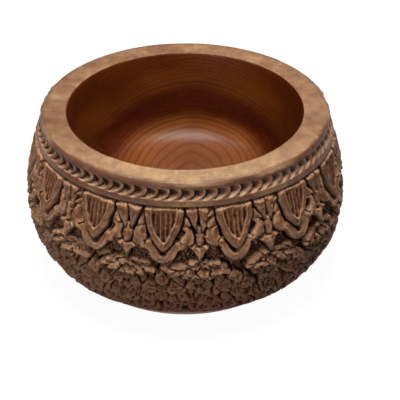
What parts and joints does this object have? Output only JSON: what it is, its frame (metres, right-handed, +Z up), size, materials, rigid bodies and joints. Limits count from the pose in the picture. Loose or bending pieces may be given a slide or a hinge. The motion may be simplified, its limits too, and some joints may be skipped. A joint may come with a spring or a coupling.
{
  "type": "carved wooden bowl",
  "caption": "Squat round wooden bowl with a thick flat rim, a dished smooth inside and deep relief carving of leaves and flowers all round the outside.",
  "frame": {"origin": "centre of the bowl at the plane it stands on", "axes": "+Z up along the turning axis; a tongue leaf lies 8 degrees left of -Y, which is the front"},
  "size_m": [0.2498, 0.2498, 0.135],
  "materials": {
    "carved_wood": "hand-carved, oiled mid-brown wood with dark recesses and paler worn high points",
    "polished_wood": "turned smooth and varnished, red-brown with visible growth rings",
    "rim_wood": "worn satin, tan and mottled on top, brown where it is carved",
    "foot_wood": "plain turned wood, pale and nearly unfinished"
  },
  "bodies": {
    "root": {"carved_body": "carved_wood", "inner_bowl": "polished_wood", "rim_collar": "rim_wood", "foot_ring": "foot_wood"}
  },
  "joints": []
}
